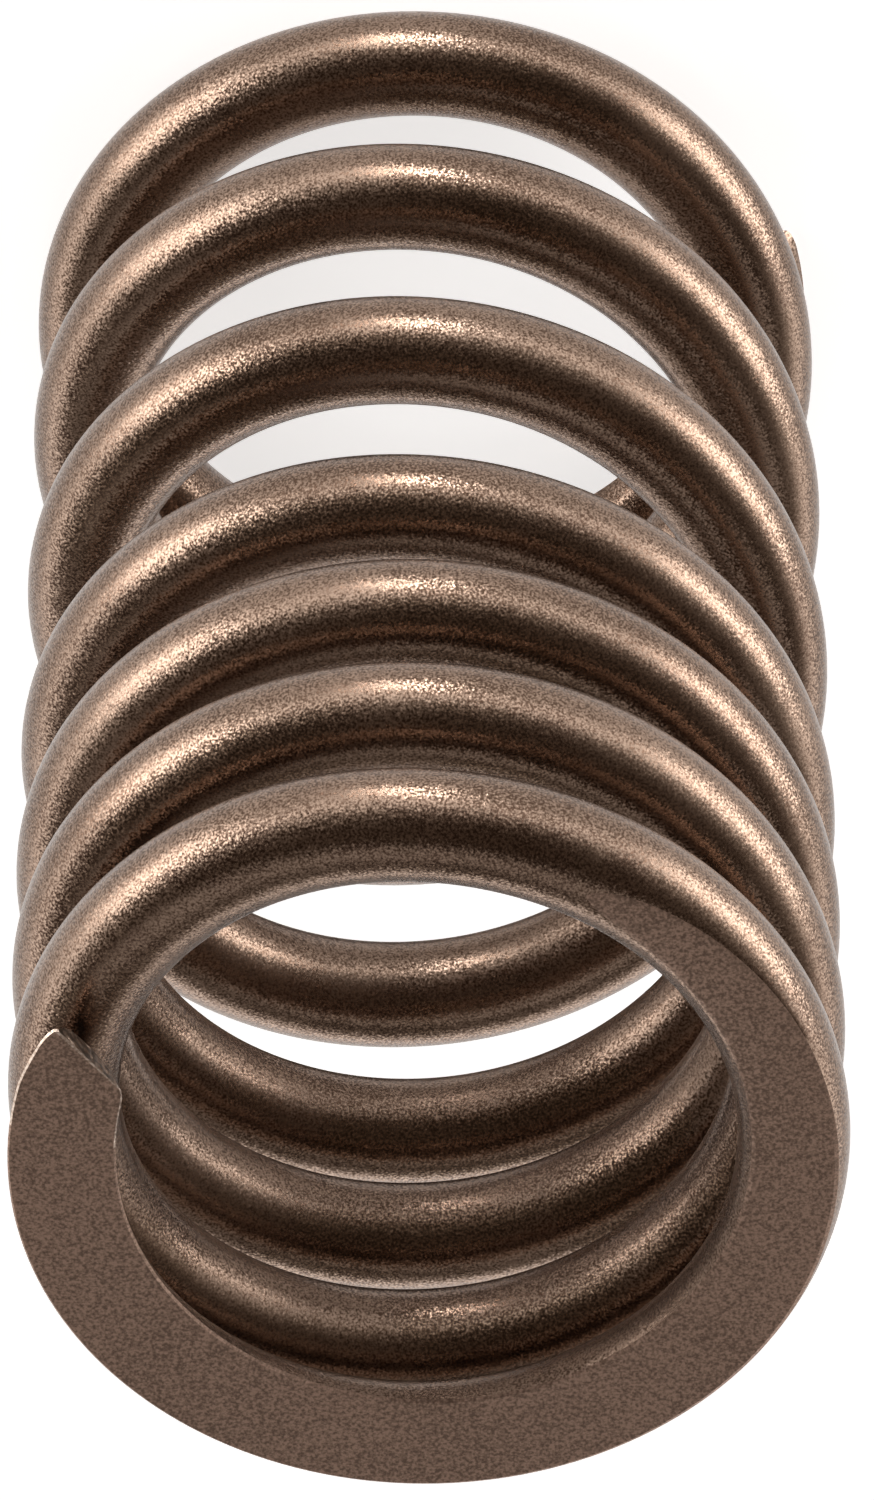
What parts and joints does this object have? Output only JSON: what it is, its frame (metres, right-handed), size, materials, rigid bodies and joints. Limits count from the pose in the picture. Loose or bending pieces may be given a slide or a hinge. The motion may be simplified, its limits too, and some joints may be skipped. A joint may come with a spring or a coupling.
{
  "type": "engine valve spring",
  "caption": "Round-wire helical compression spring, wound left-handed in a close and an open stage, with closed and ground ends.",
  "frame": {"origin": "centre of the lower ground face, on the coil axis", "axes": "+Z along the coil axis from the open-wound end up to the close-wound end; the tip of the wire on the upper face points 21 degrees from +X towards -Y"},
  "size_m": [0.03, 0.03, 0.0534],
  "materials": {
    "spring_wire": "satin, shot-peened, bronze-brown"
  },
  "bodies": {
    "root": {"spring_wire": "spring_wire"}
  },
  "joints": []
}
